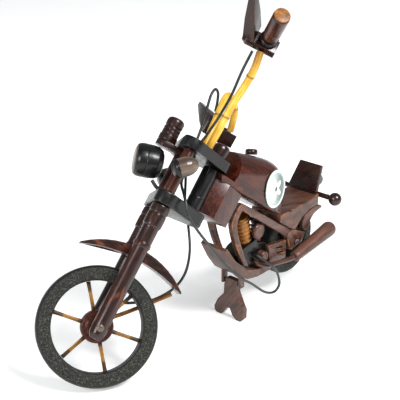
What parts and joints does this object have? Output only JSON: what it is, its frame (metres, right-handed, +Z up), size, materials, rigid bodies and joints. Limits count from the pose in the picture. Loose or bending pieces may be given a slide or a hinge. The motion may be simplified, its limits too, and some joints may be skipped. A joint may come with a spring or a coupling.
{
  "type": "wooden chopper motorcycle model",
  "caption": "Wooden chopper motorcycle model with a raked fork turned to the right, tall cane handlebars, spoked wheels and a folding two-footed stand.",
  "frame": {"origin": "middle of the underside of the bounding box, on the floor the front tyre and the stand rest on", "axes": "+X forwards along the frame, +Y to the rider's left, +Z up; the front end is turned to the right at rest"},
  "size_m": [0.2118, 0.0962, 0.2051],
  "materials": {
    "dark_wood": "dark red-brown stained wood, glossy lacquer",
    "red_wood": "mahogany-stained wood with worn orange edges, glossy lacquer",
    "brown_wood": "brown stained wood, satin lacquer",
    "black_lacquer": "black lacquered wood",
    "rattan": "bent yellow rattan cane with dark nodes",
    "honey_wood": "honey coloured turned wood",
    "tyre_fibre": "charcoal grained ring",
    "black_cable": "black rubber covered wire",
    "pin_metal": "grey-brown dowel end",
    "emblem_print": "printed oval badge with plain rings"
  },
  "bodies": {
    "frame": {"frame_board_left": "brown_wood", "rear_plate_left": "brown_wood", "rear_stay_left": "red_wood", "frame_board_right": "brown_wood", "rear_plate_right": "brown_wood", "rear_stay_right": "red_wood", "head_block": "red_wood", "head_tube": "black_lacquer", "fuel_tank": "red_wood", "tank_cap": "dark_wood", "tank_emblem": "emblem_print", "seat": "brown_wood", "backrest": "dark_wood", "signal_bar": "dark_wood", "rear_signal_left": "red_wood", "rear_signal_right": "red_wood", "tail_lamp": "brown_wood", "engine_case": "black_lacquer", "cylinder_front": "honey_wood", "cylinder_rear": "red_wood", "air_cleaner": "brown_wood", "crank_cover": "brown_wood", "gearbox_cover": "brown_wood", "muffler_left": "brown_wood", "exhaust_pipe_left": "brown_wood", "muffler_right": "brown_wood", "exhaust_pipe_right": "brown_wood", "rear_axle": "pin_metal", "stand_pin": "pin_metal", "cradle": "dark_wood", "clutch_cable": "black_cable"},
    "steering": {"lower_clamp": "black_lacquer", "upper_clamp": "black_lacquer", "fork_leg_left": "red_wood", "fork_leg_right": "red_wood", "fork_tube_left": "red_wood", "fork_tube_right": "red_wood", "steering_stem": "pin_metal", "stem_nut": "dark_wood", "front_axle": "pin_metal", "front_fender": "black_lacquer", "fender_stay": "honey_wood", "headlight": "black_lacquer", "headlight_stalk": "black_cable", "speedometer": "dark_wood", "gauge_bracket": "dark_wood", "front_signal_left": "black_lacquer", "front_signal_right": "black_lacquer", "handlebar_left": "rattan", "handlebar_right": "rattan", "lever_left": "dark_wood", "lever_right": "dark_wood", "grip_left": "black_lacquer", "grip_right": "black_lacquer", "brake_cable": "black_cable"},
    "front_wheel": {"front_tyre": "tyre_fibre", "front_hub_and_spokes": "honey_wood"},
    "rear_wheel": {"rear_tyre": "tyre_fibre", "rear_hub_and_spokes": "honey_wood"},
    "centre_stand_arm": {"centre_stand": "brown_wood"}
  },
  "joints": [
    {"name": "steering_turn", "type": "hinge", "parent": "frame", "child": "steering", "pos_m": [0.00415, 0.01042, 0.09273], "axis": [-0.6639, 0, 0.7478], "range_deg": [-1.5, 88], "deforming": ["clutch_cable"]},
    {"name": "front_wheel_spin", "type": "hinge", "parent": "steering", "child": "front_wheel", "pos_m": [0.0758, -0.00147, 0.03095], "axis": [0.5138, 0.7266, 0.4562], "continuous": true},
    {"name": "rear_wheel_spin", "type": "hinge", "parent": "frame", "child": "rear_wheel", "pos_m": [-0.07348, 0.01042, 0.0359], "axis": [0, 1, 0], "continuous": true},
    {"name": "stand_fold", "type": "hinge", "parent": "frame", "child": "centre_stand_arm", "pos_m": [-0.02288, 0.01042, 0.0242], "axis": [0, 1, 0], "range_deg": [0, 70]}
  ]
}
